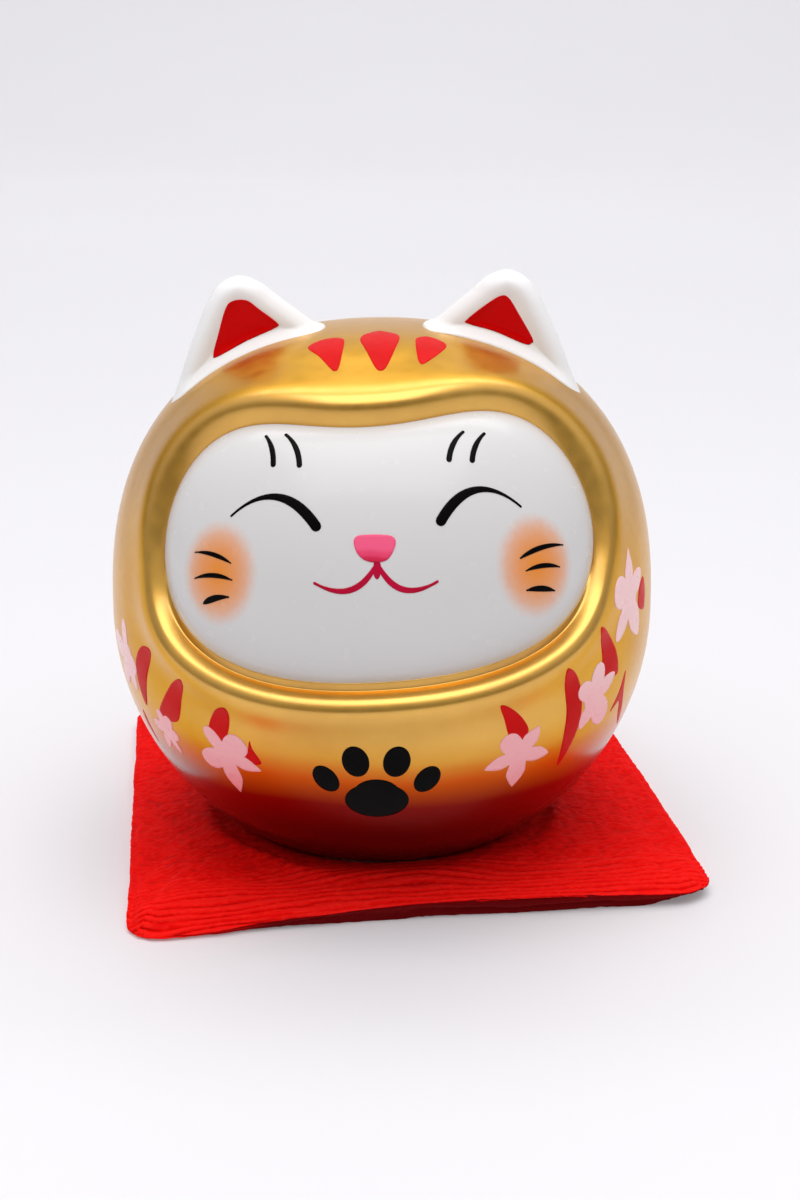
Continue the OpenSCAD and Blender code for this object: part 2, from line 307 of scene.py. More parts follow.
class Nodes:
    """Short names for the nodes that a procedural material or the world is built from."""

    def __init__(self, owner, shader, coords):
        """shader names the owner's shading node, coords the coordinates that its textures use."""
        owner.use_nodes = True
        self.owner = owner
        self.tree = owner.node_tree
        self.shader = self.tree.nodes[shader]
        self.coords = self.add("ShaderNodeTexCoord", coords)

    def put(self, socket, value):
        """Links a socket to another node's output, or sets it to a plain value."""
        if isinstance(value, bpy.types.NodeSocket):
            self.tree.links.new(value, socket)
        elif isinstance(value, tuple) and len(value) < len(socket.default_value):
            socket.default_value = (*value, 1)
        else:
            socket.default_value = value

    def add(self, kind, out, *values, settings=(), **sockets):
        """One output of a new node. Its sockets are given in order or by name."""
        node = self.tree.nodes.new(kind)
        for key, value in settings:
            setattr(node, key, value)
        for i, value in enumerate(values):
            self.put(node.inputs[i], value)
        for key, value in sockets.items():
            self.put(node.inputs[key], value)
        return node.outputs[out]

    def shade(self, **sockets):
        for key, value in sockets.items():
            self.put(self.shader.inputs[key.replace("_", " ")], value)

    def noise(self, scale, detail=3.0, rough=0.5, vector=None):
        return self.add("ShaderNodeTexNoise", "Fac", Vector=vector or self.coords, Scale=scale, Detail=detail,
                        Roughness=rough)

    def drift(self, scale, detail, lo, hi):
        """Noise that runs from lo to hi."""
        return self.remap(self.noise(scale, detail), 0.3, 0.7, lo, hi)

    def ragged(self, value, amount, scale, detail):
        """The value, moved up and down by noise."""
        wobble = self.math("SUBTRACT", self.noise(scale, detail), 0.5)
        return self.math("ADD", value, self.math("MULTIPLY", wobble, amount))

    def mapped(self, location, rotation, scale):
        return self.add("ShaderNodeMapping", "Vector", self.coords, location, rotation, scale,
                        settings=[("vector_type", "TEXTURE")])

    def axis(self, letter):
        return self.add("ShaderNodeSeparateXYZ", letter, self.coords)

    def math(self, operation, a, b):
        return self.add("ShaderNodeMath", "Value", a, b, settings=[("operation", operation)])

    def vector_math(self, operation, out, vector, **sockets):
        return self.add("ShaderNodeVectorMath", out, vector, settings=[("operation", operation)], **sockets)

    def remap(self, value, a, b, c, d):
        """The value, with the range a to b turned into c to d and held there."""
        return self.add("ShaderNodeMapRange", "Result", value, a, b, c, d)

    def mix(self, fac, a, b):
        return self.add("ShaderNodeMix", "Result", settings=[("data_type", "RGBA")], Factor=fac, A=a, B=b)

    def ramp(self, fac, stops, ease="EASE"):
        color = self.add("ShaderNodeValToRGB", "Color", fac)
        color.node.color_ramp.interpolation = ease
        elements = color.node.color_ramp.elements
        while len(elements) < len(stops):
            elements.new(0.5)
        for element, (at, shade) in zip(elements, stops):
            element.position = at
            element.color = (*shade, 1)
        return color

    def bump(self, height, distance, strength, **under):
        return self.add("ShaderNodeBump", "Normal", Height=height, Distance=distance, Strength=strength,
                        **under)


def material_nodes(name):
    return Nodes(bpy.data.materials.new(name), "Principled BSDF", "Object")


def gold_material():
    """Satin gold that turns orange and then deep red towards the foot, and near black at the foot as painted
    shade, under a clear glaze.

    The glaze shows face-on, except near the foot, and where the surface turns away."""
    m = material_nodes("gold_glaze")
    height = m.ragged(m.axis("Z"), 0.005, 26, 2)
    # Red airbrushed over the gold towards the foot; the darkest stops at the bottom are painted shade.
    red_and_shade = m.ramp(m.remap(height, 0.008, 0.048, 0, 1),
                  [(0.0, (0.012, 0.0, 0.0)), (0.18, (0.085, 0.0, 0.0)), (0.36, (0.25, 0.0003, 0.0)),
                   (0.50, (0.68, 0.10, 0.001)), (0.61, (0.74, 0.31, 0.014))], "LINEAR")
    mottled = m.mix(m.drift(60, 4, 0, 1), (0.70, 0.362, 0.043), (0.80, 0.448, 0.066))
    facing = m.add("ShaderNodeLayerWeight", "Facing", 0.5)
    shine = m.math("MULTIPLY", m.remap(facing, 0.28, 0.50, 0.95, 0.15),
                   m.remap(height, 0.027, 0.039, 0.05, 1.0))
    veil = m.math("MULTIPLY", m.remap(facing, 0.50, 0.76, 0.0, 1.0),
                  m.remap(height, 0.026, 0.044, 1.0, 0.7))
    grain = m.bump(m.noise(1100, 1), 0.00001, 0.25)
    m.shade(Base_Color=m.mix(m.remap(height, 0.0305, 0.0360, 0, 1), red_and_shade, mottled),
            Metallic=m.remap(height, 0.024, 0.034, 0.15, 1.0), Roughness=m.drift(420, 3, 0.32, 0.40),
            Coat_Weight=m.math("MAXIMUM", shine, veil), Coat_Roughness=0.20, Coat_IOR=1.6,
            Specular_IOR_Level=0.08, Specular_Tint=(0.85, 0.66, 0.38),
            Normal=m.bump(m.noise(38, 2), 0.0004, 0.2, Normal=grain))
    return m.owner


# The blush's strength from a cheek's middle, 0, to its edge, 1
BLUSH = [(0.1, 0.95), (0.45, 0.85), (0.62, 0.75), (0.81, 0.56), (1.0, 0.17)]


def white_material(name, dark, light, cheeks=()):
    """Milky glaze, with a soft-edged orange blush on each cheek."""
    m = material_nodes(name)
    cloud = m.mix(m.noise(45, 3), dark, light)
    for centre, rotation, scale in cheeks:
        away = m.ragged(m.vector_math("LENGTH", "Value", m.mapped(centre, rotation, scale)), 0.12, 900, 2)
        blush = m.ramp(away, [(at, (share,) * 3) for at, share in BLUSH], "LINEAR")
        blush = m.mix(m.remap(away, 1.0, 1.12, 0, 1), blush, (0, 0, 0))
        cloud = m.mix(blush, cloud, (0.86, 0.26, 0.010))
    m.shade(Base_Color=cloud, Roughness=m.drift(300, 2, 0.22, 0.28), Coat_Weight=0.25, Coat_Roughness=0.10,
            Coat_IOR=1.35, Specular_IOR_Level=0.25, Normal=m.bump(m.noise(32, 2), 0.0005, 0.25))
    return m.owner


def fired(m, tone, smooth, rough, coat=0.10, coat_ior=1.28, gloss=0.04):
    """Finishes a fired paint: its colour, a roughness that drifts, a clear coat and a fine grain."""
    m.shade(Base_Color=tone, Roughness=m.drift(700, 2, smooth, rough), Coat_Weight=coat, Coat_Roughness=0.08,
            Coat_IOR=coat_ior, Specular_IOR_Level=gloss, Normal=m.bump(m.noise(900, 1), 0.00001, 0.25))
    return m.owner


def paint_material(name, dark, light, rough=0.30, coat=0.10):
    """Paint whose colour drifts with the brush."""
    m = material_nodes(name)
    return fired(m, m.mix(m.drift(90, 4, 0, 1), dark, light), rough * 0.85, rough * 1.2, coat)


def nose_material():
    """Pink paint that pools to crimson at the nose's lower tip."""
    m = material_nodes("pink_glaze")
    pale = m.remap(m.ragged(m.axis("Z"), 0.001, 300, 3), 0.0645, 0.0672, 0, 1)
    tone = m.ramp(pale, [(0.0, (0.45, 0.004, 0.025)), (0.3, (0.67, 0.027, 0.08)), (0.6, (0.83, 0.066, 0.16)),
                         (1.0, (0.93, 0.12, 0.25))])
    return fired(m, tone, 0.26, 0.36)


def blossom_material():
    """Pink that pales upwards."""
    m = material_nodes("blossom_pink")
    pale = m.remap(m.ragged(m.axis("Z"), 0.006, 120, 3), 0.021, 0.045, 0, 1)
    tone = m.ramp(pale, [(0.0, (0.94, 0.27, 0.30)), (0.45, (1.0, 0.46, 0.48)), (1.0, (1.0, 0.63, 0.63))])
    return fired(m, tone, 0.25, 0.36, 0.4, 1.3, 0.2)


def crepe_material():
    """Red crepe: uneven threads, painted shade in the creases, painted highlights on the crests, and painted
    shade in the fold under the front edge.
    """
    m = material_nodes("red_crepe")
    threads = m.noise(850, 3, 0.6, m.mapped((0, 0, 0), (0, 0, math.radians(10.5)), (1.0, 0.32, 1.0)))
    crease = m.add("ShaderNodeAttribute", "Fac", settings=[("attribute_name", "crease")])
    tone = m.mix(m.remap(m.noise(220, 4, 0.6), 0.25, 0.75, 0, 1), (0.92, 0.001, 0.001), (1.0, 0.004, 0.002))
    # Threads vary at random; the crease values paint shade into the creases, highlights onto the crests, and
    # shade into the fold under the front edge.
    layers = [(threads, 0.38, 0.60, 0.20, 0, (0.50, 0.0, 0.0)),
              (threads, 0.52, 0.72, 0, 0.5, (1.0, 0.03, 0.015)),
              (crease, 0.0, 0.6, 0.65, 0, (0.36, 0.0, 0.0)), (crease, 0.75, 1.0, 0, 0.4, (1.0, 0.02, 0.015)),
              (crease, -0.6, 0.0, 0.92, 0, (0.11, 0.0, 0.001))]
    for value, *span, color in layers:
        tone = m.mix(m.remap(value, *span), tone, color)
    m.shade(Base_Color=tone, Roughness=0.7, Sheen_Weight=0.40, Sheen_Roughness=0.4,
            Sheen_Tint=(1.0, 0.01, 0.01), Specular_IOR_Level=0.05, Normal=m.bump(threads, 0.0003, 0.6))
    return m.owner


def bisque_material():
    m = material_nodes("bare_ceramic")
    m.shade(Base_Color=m.mix(m.noise(500, 5, 0.65), (0.50, 0.44, 0.38), (0.66, 0.61, 0.54)), Roughness=0.85,
            Specular_IOR_Level=0.3, Normal=m.bump(m.noise(1800, 3), 0.00008, 0.6))
    return m.owner


# ---- gold casting

def opening(share):
    """The face opening's outline, shrunk towards its middle."""
    return FACE_MIDDLE + (OUTLINE - FACE_MIDDLE) * share


def body_rings():
    """Chart points and heights of the casting's rings, from the rim out to the back."""
    rim = (OUTLINE[:, None] + NORMALS[:, None] * RIM_S[..., None]).transpose(1, 0, 2)
    radius = np.hypot(rim[-1, :, 0], rim[-1, :, 1])[:, None]
    way = rim[-1] / radius
    share = np.linspace(0, 1, 190)[1:-1] ** 1.12
    far = np.stack([way * (radius * (1 - k) + math.pi * BODY_R * k) for k in share])
    return np.concatenate([rim, far]), np.concatenate([RIM_T.T, np.zeros((len(far), OUTLINE_N))])


def make_body(material):
    """The gold casting, with a recess behind the white face."""
    uv, t = body_rings()
    shell = cut_base(on_skin(chart_dirs(uv), t))
    recess = [on_skin(chart_dirs(opening(k)), depth) for k, depth in
              ((0.15, RECESS), (0.4, RECESS), (0.7, RECESS), (0.94, RECESS + 0.2), (1.0, RECESS + 1.2))]
    recess_tip = on_skin(chart_dirs(FACE_MIDDLE[None]), RECESS)
    back = on_skin(-chart_dirs(np.zeros((1, 2))), 0)
    verts, faces = closed_stack(np.concatenate([recess, shell]), recess_tip, back)
    cut_vent(new_piece("gold_casting", verts, faces, material, "doll", "gold_glaze", "body_shell"))


def cut_vent(body):
    """Bores the small air hole in the casting's underside, where the mould was drained."""
    sides, depth = 48, 9.0
    a = np.linspace(0, 2 * np.pi, sides, endpoint=False)
    ring = np.stack([VENT_R * np.cos(a), VENT_R * np.sin(a), 0 * a], -1)
    verts = np.concatenate([ring + UP * (FOOT_Z - 2), ring + UP * (FOOT_Z + depth)])
    faces = grid_faces(2, sides) + [tuple(range(sides))[::-1], tuple(range(sides, 2 * sides))]
    cutter = plain_mesh("vent_cutter", verts * MM, faces)
    modifier = body.modifiers.new("vent", "BOOLEAN")
    modifier.operation = "DIFFERENCE"
    modifier.solver = "EXACT"
    modifier.object = cutter
    bored = bpy.data.meshes.new_from_object(body.evaluated_get(bpy.context.evaluated_depsgraph_get()))
    body.modifiers.remove(modifier)
    body.data = bored
    bpy.data.objects.remove(cutter)


def make_face(material):
    """The white face, a thick panel that fills the opening."""
    uv = np.array([opening(1 - k**1.5) for k in np.linspace(0, 1, 90)[:-1]])
    top = on_skin(chart_dirs(uv), face_t(uv))
    low = [on_skin(chart_dirs(opening(k)), FACE_BACK) for k in (0.25, 0.6, 1.0)]
    middle = FACE_MIDDLE[None]
    verts, faces = closed_stack(np.concatenate([low, top]), on_skin(chart_dirs(middle), FACE_BACK),
                                on_skin(chart_dirs(middle), face_t(middle)))
    new_piece("white_face", verts, faces, material, "doll", "white_glaze",
              "face_panel", "cheek_left", "cheek_right")


# ---- paint films

def film_mesh(outlines, place, lift, cell=0.5, sunk=0.12):
    """Closed thin solid over the union of flat outlines. place(points, lift) puts them on a surface."""
    points, rings = [], []
    for outline in outlines:
        rings.append(list(range(len(points), len(points) + len(outline))))
        points += [Vector(p) for p in outline]
    everything = np.concatenate(outlines)
    lo, hi = everything.min(0), everything.max(0)
    for i, y in enumerate(np.arange(lo[1] + cell / 2, hi[1], cell * 0.87)):
        points += [Vector((x, y)) for x in np.arange(lo[0] + cell / 2 * (i % 2), hi[0], cell)]
    cut = delaunay_2d_cdt(points, [], rings, 1, 1e-4)
    used = sorted({i for f in cut[2] for i in f})
    index = {v: i for i, v in enumerate(used)}
    flat = np.array([tuple(cut[0][i]) for i in used])
    tris = [tuple(index[i] for i in f) for f in cut[2]]
    n = len(flat)
    sides = dict.fromkeys(side for f in tris for side in zip(f, f[1:] + f[:1]))
    faces = tris + [tuple(i + n for i in f[::-1]) for f in tris]
    faces += [(b, a, a + n, b + n) for a, b in sides if (b, a) not in sides]
    return np.concatenate([place(flat, lift), place(flat, -sunk)]), faces


def stroke(p, q, sag, width, heavy=1.0, steps=28, blunt=0.12, power=0.8, grow=None):
    """Outline of a brush stroke from p to q that bows by sag and is width wide at its fattest.

    With grow = (start, full) it starts at that share of its width and is full from there to q."""
    p, q = np.array(p, float), np.array(q, float)
    t = np.linspace(0, 1, steps)[:, None]
    d = q - p
    mid = (p + q) / 2 + 2 * sag * np.array([-d[1], d[0]]) / np.linalg.norm(d)
    line = (1 - t) ** 2 * p + 2 * t * (1 - t) * mid + t**2 * q
    slope = unit(2 * (1 - t) * (mid - p) + 2 * t * (q - mid))
    half = width / 2 * np.maximum(blunt, np.sin(np.pi * t**heavy) ** power)
    if grow:
        half = width / 2 * (grow[0] + (1 - grow[0]) * smoothstep(0, grow[1], t))
    side = np.stack([-slope[:, 1], slope[:, 0]], -1) * half
    end = cap_points(line[-1] - side[-1], line[-1] + side[-1], slope[-1])
    start = cap_points(line[0] + side[0], line[0] - side[0], -slope[0])
    return np.concatenate([line - side, end, (line + side)[::-1], start])


def cap_points(a, b, way):
    """Half round end between a and b, bulging along way."""
    centre, r = (a + b) / 2, np.linalg.norm(b - a) / 2
    angles = np.linspace(0, np.pi, 7)[1:-1]
    arm = (a - centre) / max(r, 1e-9)
    return np.array([centre + r * (math.cos(t) * arm + math.sin(t) * way) for t in angles])


def oval(cx, cy, rx, ry, turn=0.0, steps=48):
    a = np.linspace(0, 2 * np.pi, steps, endpoint=False)
    turn = math.radians(turn)
    c, s = math.cos(turn), math.sin(turn)
    x, y = rx * np.cos(a), ry * np.sin(a)
    return np.stack([cx + x * c - y * s, cy + x * s + y * c], -1)


def rounded(corners, r, steps):
    """Polygon with rounded corners, and more points along its sides."""
    pts = np.array(corners, float)
    out = []
    for a, p, b in zip(np.roll(pts, 1, 0), pts, np.roll(pts, -1, 0)):
        near, far = p + unit(a - p) * r, p + unit(b - p) * r
        after = b - unit(b - p) * r
        out += [(1 - t) ** 2 * near + 2 * t * (1 - t) * p + t**2 * far for t in np.linspace(0, 1, steps)]
        out += [far * (1 - t) + after * t for t in np.linspace(0, 1, 8)[1:-1]]
    return np.array(out)


def on_gold(lon, lat):
    def place(flat, lift):
        dirs = body_dirs(lon, lat, flat)
        return on_skin(dirs, gold_t(dirs) + lift)
    return place


def on_brow(flat, lift):
    dirs = chart_dirs(flat)
    return on_skin(dirs, gold_t(dirs) + lift)


def on_face(flat, lift):
    return on_skin(chart_dirs(flat), face_t(flat) + lift)


def paint(name, parts, material, slot, node, lift=0.05, cell=0.5):
    """One painted piece from several (outlines, place) pairs."""
    verts, faces = np.zeros((0, 3)), []
    for outlines, place in parts:
        v, f = film_mesh(outlines, place, lift, cell)
        faces += [tuple(i + len(verts) for i in face) for face in f]
        verts = np.concatenate([verts, v])
    new_piece(name, verts, faces, material, "doll", slot, node)


def petal(turn, length, width, point):
    """One petal at an angle from straight up; point runs from 0, rounded, to 1, pointed."""
    t = np.linspace(0, 1, 24)
    q = np.clip((t - 0.55) / 0.45, 0, 1)
    tip = (1 - point) * np.sqrt(1 - q**2.6) + point * (1 - q**1.35)
    half = width * np.where(t < 0.55, 0.7 + 0.3 * smoothstep(0, 0.55, t), tip)
    half[-1] = max(half[-1], 0.05)
    a = math.radians(turn)
    way, side = np.array([math.sin(a), math.cos(a)]), np.array([math.cos(a), -math.sin(a)])
    line = (t * length)[:, None] * way
    return np.concatenate([line + half[:, None] * side, (line - half[:, None] * side)[::-1]])


def blossom(petals, middle=2.6):
    """Uneven hand-painted petals, as [angle, length, half width, pointedness], round a middle."""
    return [petal(*p) for p in petals] + [oval(0, 0, middle, middle, steps=36)]


# ---- ears

# Right-hand ear from the front before the head's slight roll, as [x, z above the waist]
EAR_SHOWN = [(8.4, 49.6), (10.6, 50.6), (13.4, 52.8), (16.8, 55.5), (19.4, 57.6), (22.8, 58.7), (25.9, 57.5),
             (28, 54.9), (30.2, 50.3), (32.2, 45.4), (33.8, 41), (35.4, 37.2), (36.6, 34.9)]
EAR_HIDDEN = [(33, 33.6), (24, 39), (15, 44), (9, 47)]
EAR_MIDDLE = (24.2, 48.0)
EAR_RIM = 3.3
EAR_THICK = 3.3
EAR_DISH = 0.6
EAR_OUTLINE = loop_spline(EAR_SHOWN + EAR_HIDDEN, 14)


def ear_middle_y(x):
    return -2.6 - 2.4 * (x - 9) / 27


def ear_front(xz, front=True):
    """y of the ear's front or back at points [x, z above the waist]."""
    gap = np.linalg.norm(xz[:, None] - EAR_OUTLINE[None], axis=2).min(1)
    thick = EAR_THICK * np.sqrt(np.clip(1 - (1 - np.clip(gap / EAR_RIM, 0, 1)) ** 2, 0, 1))
    y = ear_middle_y(xz[:, 0]) + (-thick if front else 1.25 * thick)
    p = np.stack([xz[:, 0], y, xz[:, 1]], -1)
    clear = np.linalg.norm(p, axis=1) - skin_radius(unit(p))
    root = 1.1 * np.clip(1 - clear / 1.8, 0, 1) ** 2 * np.clip(gap / 1.5, 0, 1)
    if not front:
        return y + root
    return y - root + EAR_DISH * smoothstep(1.5, 5.0, np.minimum(gap, clear * 1.5 + 0.6))


def ear_place(side):
    """Turns [x, y, z above the waist] points of the right-hand ear into the row frame."""
    def place(p):
        x, z = side * p[:, 0], p[:, 2]
        c, s = math.cos(HEAD_ROLL), math.sin(HEAD_ROLL)
        return np.stack([x * c - z * s, p[:, 1], x * s + z * c + WAIST_Z], -1)
    return place


def make_ear(name, side, material, node):
    centre = np.array(EAR_MIDDLE)
    share = 1 - (0.999 * np.sin(np.linspace(0, np.pi / 2, 34)[:-1])) ** 1.6
    rings = centre + (EAR_OUTLINE - centre) * share[:, None, None]

    def skin(points, front):
        flat = points.reshape(-1, 2)
        return np.stack([flat[:, 0], ear_front(flat, front), flat[:, 1]], -1).reshape(*points.shape[:-1], 3)

    front, back = skin(rings, True), skin(rings, False)
    front[0] = (front[0] + back[0]) / 2
    tips = [skin(centre[None], is_front) for is_front in (False, True)]
    verts, faces = closed_stack(np.concatenate([back[:0:-1], front]), *tips)
    if side > 0:
        faces = [f[::-1] for f in faces]
    new_piece(name, ear_place(side)(verts), faces, material, "doll", "white_glaze", node)


def make_inner_ear(name, side, corners, material, node):
    put = ear_place(side)

    def place(flat, lift):
        flat = flat * np.array([side, 1.0])
        return put(np.stack([flat[:, 0], ear_front(flat) - lift, flat[:, 1]], -1))

    verts, faces = film_mesh([loop_spline(corners, 8)], place, 0.08, sunk=0.3)
    new_piece(name, verts, faces, material, "doll", "red_glaze", node)


# ---- foot ring

def make_foot(material):
    """Unglazed ring under the casting, turned on its axis."""
    outer = BODY_R * math.sqrt(1 - ((WAIST_Z - FOOT_Z) / BOWL_H) ** 2) - 1.5
    inner, low, high = outer - 4.3, BASE_Z + 0.01, FOOT_Z + 0.5
    profile = rounded([(inner, low), (outer, low), (outer, high), (inner, high)], 0.35, 5)
    a = np.linspace(0, 2 * np.pi, 160, endpoint=False)
    r, z = profile[:, :1], profile[:, 1:]
    verts = np.stack([r * np.cos(a), r * np.sin(a), z + 0 * a], -1).reshape(-1, 3)
    faces = [tuple(i % len(verts) for i in f) for f in grid_faces(len(profile) + 1, len(a))]
    new_piece("foot_rim", verts, faces, material, "doll", "bare_ceramic", "foot_ring")


# ---- cushion

# Corners of the cushion seen from above: front left, front right, rear right, rear left
CUSHION_CORNERS = [(-41.0, -46.2), (58.1, -29.4), (45.0, 68.0), (-54.8, 61.0)]
HALF = 49.0
CUSHION_EDGE = 2.0
CUSHION_CELLS = 56
FOOT_R = 24.6


def lattice_noise(x, y, seed):
    """Smooth value noise from -1 to 1 on a plane."""
    table = np.random.RandomState(seed).uniform(-1, 1, (256, 256))
    xi, yi = np.floor(x).astype(int), np.floor(y).astype(int)
    fx, fy = x - xi, y - yi
    fx, fy = fx * fx * (3 - 2 * fx), fy * fy * (3 - 2 * fy)

    def at(i, j):
        return table[i % 256, j % 256]

    low = at(xi, yi) * (1 - fx) + at(xi + 1, yi) * fx
    high = at(xi, yi + 1) * (1 - fx) + at(xi + 1, yi + 1) * fx
    return low * (1 - fy) + high * fy


def edge_spaced(cells):
    """Positions from -1 to 1 that crowd towards the rounded edges."""
    rim = CUSHION_EDGE / HALF
    curve = 1 - np.cos(np.linspace(0, np.pi / 2, 6))
    inner = np.linspace(-1 + rim, 1 - rim, cells + 1)
    return np.concatenate([-1 + rim * curve[:-1], inner, (1 - rim * curve[:-1])[::-1]])


def front_lift(u):
    """How far the front edge stands off the table, from 0 at its left corner, as a share."""
    return smoothstep(-0.97, 0.05, u) * (1 - 0.45 * smoothstep(0.35, 1.0, u))


def cushion_sheets():
    """Top and bottom grids of the flat cushion before it is filled, shape (2, n, n, 3) in mm."""
    k = edge_spaced(CUSHION_CELLS)
    u, v = np.meshgrid(k, k, indexing="ij")
    x, y = u * HALF, v * HALF
    r = 4.0 + 1.5 * (v < 0) + 1.5 * (v < 0) * (u > 0)
    over_x, over_y = np.abs(x) - (HALF - r), np.abs(y) - (HALF - r)
    corner = (over_x > 0) & (over_y > 0)
    most = np.maximum(over_x, over_y)
    shrink = np.where(corner, most / np.maximum(np.hypot(over_x, over_y), 1e-9), 1)
    x = np.where(corner, np.sign(x) * (HALF - r + over_x * shrink), x)
    y = np.where(corner, np.sign(y) * (HALF - r + over_y * shrink), y)
    edge = HALF * (1 - np.maximum(np.abs(u), np.abs(v)))
    close = smoothstep(-0.80, -0.97, v)
    front = close * front_lift(u)
    mid = 2.1 * (1 - close) + close * (0.7 + 2.7 * front_lift(u))
    roll = CUSHION_EDGE + 1.6 * smoothstep(-0.7, -0.97, v)
    rise, tuck = (np.sqrt(1 - (1 - np.clip(edge / width, 0, 1)) ** 2) for width in (roll, CUSHION_EDGE))
    tuck = tuck * (1 - front) + np.clip(edge / 1.6, 0, 1) * front
    p, q = (x / HALF + 1) / 2, (y / HALF + 1) / 2
    corners = np.array(CUSHION_CORNERS)
    wave = lattice_noise(v * HALF / 3.4, u * 3, 4)
    ripple = 0.08 * np.exp(-edge / 6) * wave * smoothstep(1.0, 0.85, np.abs(v))
    p = p + ripple * smoothstep(0.7, 1.0, np.abs(u)) * np.sign(u) / (2 * HALF)
    bulge = 1.1 * smoothstep(-0.05, 0.45, u) - 0.7 * smoothstep(-0.9, -0.5, u)
    q = q - bulge * close / (2 * HALF)
    plan = (corners[0] * ((1 - p) * (1 - q))[..., None] + corners[1] * (p * (1 - q))[..., None]
            + corners[2] * (p * q)[..., None] + corners[3] * ((1 - p) * q)[..., None])
    top = mid + (BASE_Z - 0.15 - mid) * rise
    raised = smoothstep(0.72, 0.97, u) * smoothstep(-0.72, -0.97, v)
    low = mid * ((1 - tuck) * (1 - raised) + (1 - np.clip(edge / 8, 0, 1)) * raised)
    return np.stack([np.dstack([plan, top]), np.dstack([plan, low])])


def weld(rows, cols):
    """Two grids that share their rims: every point's number, the points kept, and the rim."""
    rim = np.ones((rows, cols), bool)
    rim[1:-1, 1:-1] = False
    index = np.arange(2 * rows * cols).reshape(2, rows, cols)
    index[1][rim] = index[0][rim]
    kept, index = np.unique(index, return_inverse=True)
    return index.reshape(2, rows, cols), kept, rim


def cover_faces(index):
    """Quads of the welded top grid and, turned over, of the bottom one."""
    quads = np.stack([index[:, :-1, :-1], index[:, 1:, :-1], index[:, 1:, 1:], index[:, :-1, 1:]], -1)
    return np.concatenate([quads[0], quads[1][..., [0, 3, 2, 1]]]).reshape(-1, 4).tolist()


CLOTH = dict(quality=6, mass=0.3, tension_stiffness=12, compression_stiffness=12, shear_stiffness=4,
             bending_stiffness=0.4, shrink_min=0.02, use_pressure=True, uniform_pressure_force=1.6,
             vertex_group_mass="pressed")
CLOTH_SCALE = 10.0
CLOTH_FRAMES = 20
CLOTH_TRAVEL = 1.6


def fill_cushion(sheets):
    """Cloth simulation: air pressure fills the cover while its own shrinkage pulls the sides in.

    It runs at ten times the size, and no point ends more than CLOTH_TRAVEL mm away."""
    n = sheets.shape[1]
    index, kept, _ = weld(n, n)
    unit_mm = MM * CLOTH_SCALE
    verts = sheets.reshape(-1, 3)[kept] * unit_mm
    cloth = plain_mesh("cushion_cloth", verts, cover_faces(index))
    pin = cloth.vertex_groups.new(name="pressed")
    hold = 1 - smoothstep(FOOT_R + 2, FOOT_R + 9, np.hypot(verts[:, 0], verts[:, 1]) / unit_mm)
    hold[index[1].reshape(-1)] = 1
    for i in np.flatnonzero(hold > 0):
        pin.add([int(i)], float(hold[i]), "REPLACE")
    modifier = cloth.modifiers.new("fill", "CLOTH")
    for key, value in CLOTH.items():
        setattr(modifier.settings, key, value)
    modifier.settings.effector_weights.gravity = 0
    modifier.collision_settings.use_collision = False
    modifier.point_cache.frame_start = 1
    modifier.point_cache.frame_end = CLOTH_FRAMES
    scene = bpy.context.scene
    for frame_number in range(1, CLOTH_FRAMES + 1):
        scene.frame_set(frame_number)
    filled = cloth.evaluated_get(bpy.context.evaluated_depsgraph_get()).to_mesh()
    moved = np.array([v.co for v in filled.vertices]) - verts
    bpy.data.objects.remove(cloth)
    scene.frame_set(1)
    most = CLOTH_TRAVEL * unit_mm
    size = np.linalg.norm(moved, axis=1, keepdims=True)
    moved *= most * np.tanh(size / most) / np.maximum(size, 1e-12)
    return ((verts + moved) / unit_mm)[index]


def resampled(sheet, axis, count_per_cell):
    """Cubic interpolation of a sheet along one axis."""
    sheet = np.moveaxis(sheet, axis, 0)
    n = len(sheet)
    x = np.linspace(0, n - 1, (n - 1) * count_per_cell + 1)
    k = np.minimum(x.astype(int), n - 2)
    t = (x - k).reshape(-1, 1, 1)
    before, after = sheet[np.maximum(k - 1, 0)], sheet[np.minimum(k + 2, n - 1)]
    return np.moveaxis(catmull_rom(before, sheet[k], sheet[k + 1], after, t), 0, axis)


def sheet_normals(sheet):
    return unit(np.cross(np.gradient(sheet, axis=0), np.gradient(sheet, axis=1)))


def crepe_relief(sheet):
    """Height of the crepe's crinkles and of the ribs along its front, and how open the creases are, which
    sets their painted shade and painted highlights.
    """
    along_x, along_y = (np.cumsum(np.linalg.norm(np.diff(sheet, axis=i, prepend=start), axis=2), axis=i)
                        for i, start in ((0, sheet[:1]), (1, sheet[:, :1])))

    def wave(x, y, seed):
        return lattice_noise(along_x / x, along_y / y, seed)

    drift = 0.75 * wave(17, 4, 3) + 0.24 * wave(5, 2, 6)
    ribs = 1 - 2 * np.abs(np.sin(np.pi * (along_y + drift) / 1.4)) ** 0.7
    broken = 0.75 + 0.55 * wave(8, 1.1, 5)
    crinkle = 1 - 2 * np.abs(wave(1.5, 0.85, 8)) ** 0.6
    end = np.minimum(along_x, along_x[-1:] - along_x)
    front = np.exp(-((along_y / 13) ** 4))
    corner = np.exp(-np.hypot(end, along_y) / 5)
    pucker = np.sin(9 * np.arctan2(end + 0.3, along_y + 0.3))
    ribbed = -0.27 * front * broken * ribs
    crinkled = 0.17 * (1 - 0.5 * front) * (1 - 0.7 * np.exp(-end / 1.5)) * crinkle
    # Mask for painted shade in the rib valleys and painted highlights on their crests.
    crease = np.clip((1.5 * ribbed + 0.8 * crinkled + 0.24) / 0.40, 0, 1)
    return ribbed + crinkled + 0.12 * wave(9, 6, 9) + 0.14 * corner * pucker, crease


